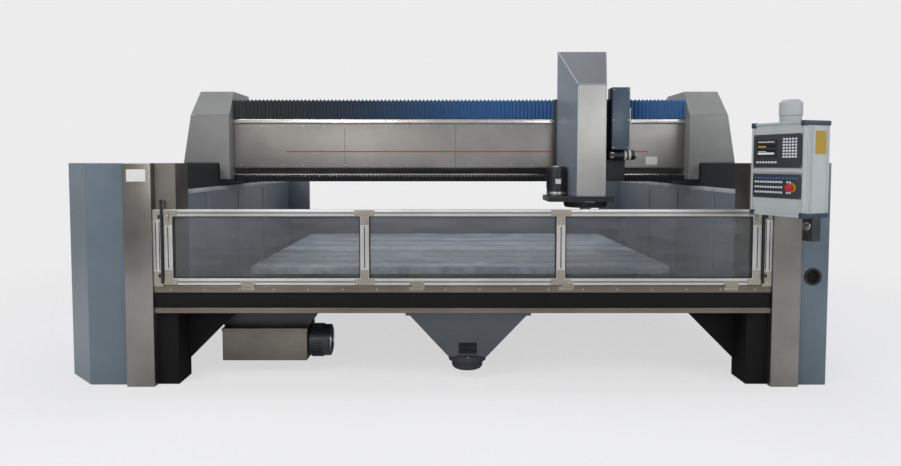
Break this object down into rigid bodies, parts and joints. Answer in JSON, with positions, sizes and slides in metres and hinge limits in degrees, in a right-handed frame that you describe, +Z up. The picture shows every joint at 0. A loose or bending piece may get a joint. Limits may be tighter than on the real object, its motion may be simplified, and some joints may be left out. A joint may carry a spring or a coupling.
{
  "type": "gantry stone engraving machine",
  "caption": "Walled bed with water basin and table, fold-down guard, and a gantry that carries an engraving head along, across and down.",
  "frame": {"origin": "on the floor, under the middle of the whole machine with its control box", "axes": "+X to the operator's right, +Y back along the bed, +Z up"},
  "size_m": [5.562, 4.2994, 2.549],
  "materials": {
    "wall_paint": "semi-gloss grey paint",
    "cabinet_paint": "semi-gloss blue-grey paint",
    "brushed_trim": "brushed stainless sheet",
    "black_paint": "black paint",
    "table_paint": "worn grey paint",
    "hopper_paint": "dark grey paint",
    "foot_iron": "dull cast iron",
    "gate_aluminium": "satin anodised",
    "gate_glass": "smoky clear sheet",
    "rail_steel": "ground steel",
    "bellows_cloth": "coated folded cloth",
    "gantry_paint": "satin warm grey paint",
    "drive_paint": "navy paint",
    "head_paint": "satin light grey paint",
    "box_paint": "fine textured pale grey paint",
    "panel_plastic": "dark membrane sheet"
  },
  "bodies": {
    "bed": {"left_side_wall": "wall_paint", "right_side_wall": "wall_paint", "left_front_column": "wall_paint", "right_front_column": "wall_paint", "left_column_trim": "brushed_trim", "right_column_trim": "brushed_trim", "levelling_feet": "foot_iron", "rear_pedestals": "wall_paint", "corner_braces": "black_paint", "left_cabinet": "cabinet_paint", "right_fairing": "cabinet_paint", "basin_floor": "wall_paint", "front_beam": "black_paint", "front_lip": "brushed_trim", "front_sill": "brushed_trim", "sill_hinge_leaves": "gate_aluminium", "rear_wall": "wall_paint", "rear_corner_panels": "wall_paint", "work_table": "table_paint", "table_bearers": "wall_paint", "drain_hopper": "hopper_paint", "hopper_outlet": "hopper_paint", "pump_box": "brushed_trim", "pump_motor": "black_paint", "pump_bracket": "black_paint", "gate_posts": "gate_aluminium", "wall_rails": "rail_steel", "front_wall_bellows": "bellows_cloth", "rear_wall_bellows": "bellows_cloth", "control_arm": "black_paint"},
    "gate": {"gate_frame": "gate_aluminium", "gate_glass": "gate_glass", "gate_hinge_leaves": "gate_aluminium"},
    "gantry": {"end_carriages": "gantry_paint", "left_gantry_leg": "gantry_paint", "right_gantry_leg": "gantry_paint", "gantry_beam": "gantry_paint", "beam_panel": "brushed_trim", "beam_strip": "rail_steel", "beam_rails": "rail_steel", "left_beam_bellows": "bellows_cloth", "right_beam_bellows": "bellows_cloth"},
    "saddle": {"saddle_plate": "black_paint", "saddle_blocks": "rail_steel", "drive_housing": "drive_paint", "hose_coupling": "black_paint"},
    "head": {"head_cover": "head_paint", "head_skirt": "black_paint", "spindle_nose": "rail_steel", "side_motor": "black_paint"},
    "pendant": {"control_box": "box_paint", "control_faces": "panel_plastic", "box_handle": "box_paint", "swivel_coupling": "black_paint", "handwheel_body": "black_paint"}
  },
  "joints": [
    {"name": "gantry_travel", "type": "slide", "parent": "bed", "child": "gantry", "axis": [0, 1, 0], "range_m": [-0.42, 1.6], "deforming": ["front_wall_bellows", "rear_wall_bellows"]},
    {"name": "saddle_travel", "type": "slide", "parent": "gantry", "child": "saddle", "axis": [1, 0, 0], "range_m": [-2.5, 0.4], "deforming": ["left_beam_bellows", "right_beam_bellows"]},
    {"name": "head_travel", "type": "slide", "parent": "saddle", "child": "head", "axis": [0, 0, 1], "range_m": [-0.35, 0.05]},
    {"name": "gate_swing", "type": "hinge", "parent": "bed", "child": "gate", "pos_m": [0.161, -1.5423, 0.728], "axis": [1, 0, 0], "range_deg": [0, 170]},
    {"name": "pendant_swivel", "type": "hinge", "parent": "bed", "child": "pendant", "pos_m": [2.269, -1.9203, 1.9], "axis": [0, 0, 1], "range_deg": [-30, 60]}
  ]
}
